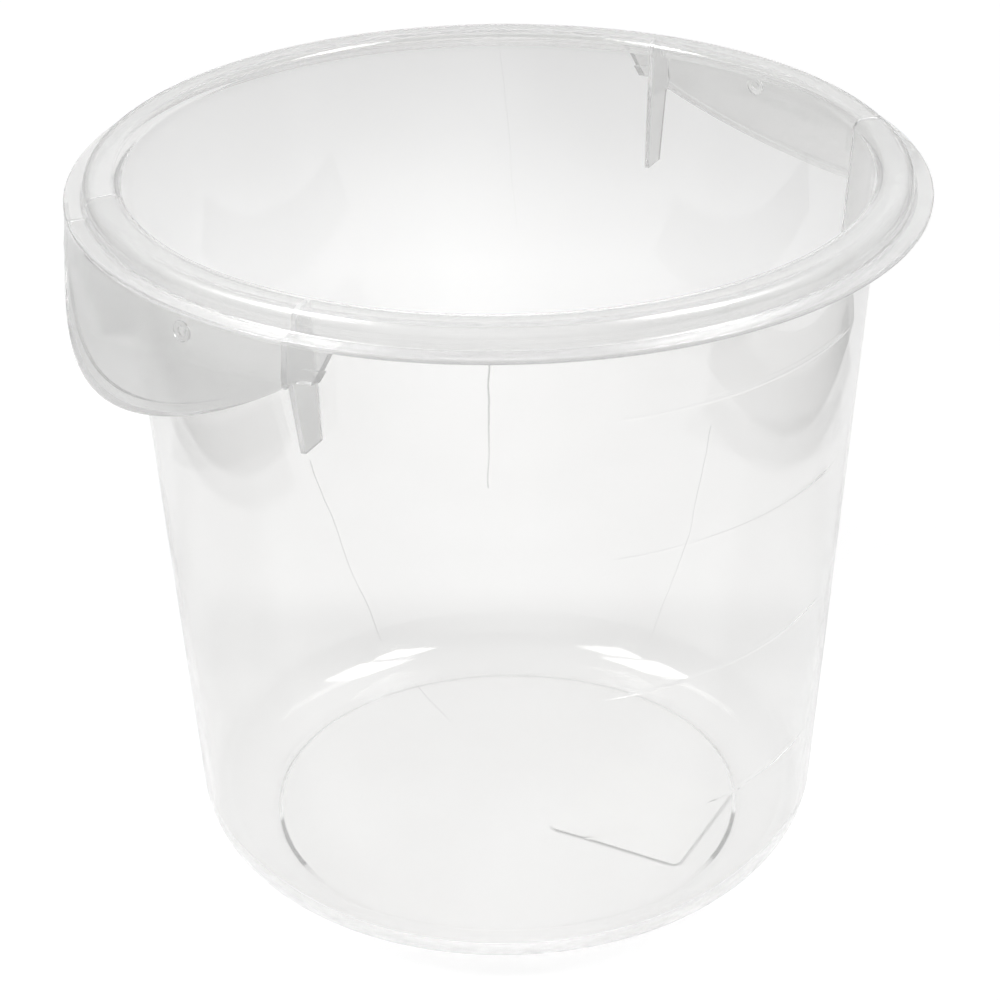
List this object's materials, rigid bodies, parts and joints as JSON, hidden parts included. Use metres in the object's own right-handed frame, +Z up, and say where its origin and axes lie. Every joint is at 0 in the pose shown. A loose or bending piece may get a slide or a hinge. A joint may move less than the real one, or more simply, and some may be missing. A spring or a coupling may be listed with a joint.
{
  "type": "dough proofing container",
  "caption": "Open round tub of semi-clear plastic with a raised lid rim, a grip lip on each side, raised measure lines and a label under the floor.",
  "frame": {"origin": "on the axis of the tub, at the height of the surface it stands on", "axes": "+Z up along the tub's axis, +X through the middle of one grip, -Y towards the measure lines"},
  "size_m": [0.3638, 0.3368, 0.302],
  "materials": {
    "natural_plastic": "semi-clear natural polypropylene, soft gloss",
    "label_film": "matt white label"
  },
  "bodies": {
    "root": {"tub_wall": "natural_plastic", "tub_corner": "natural_plastic", "tub_floor": "natural_plastic", "rim": "natural_plastic", "left_grip": "natural_plastic", "right_grip": "natural_plastic", "left_grip_ribs": "natural_plastic", "right_grip_ribs": "natural_plastic", "measure_marks": "natural_plastic", "base_label": "label_film"}
  },
  "joints": []
}
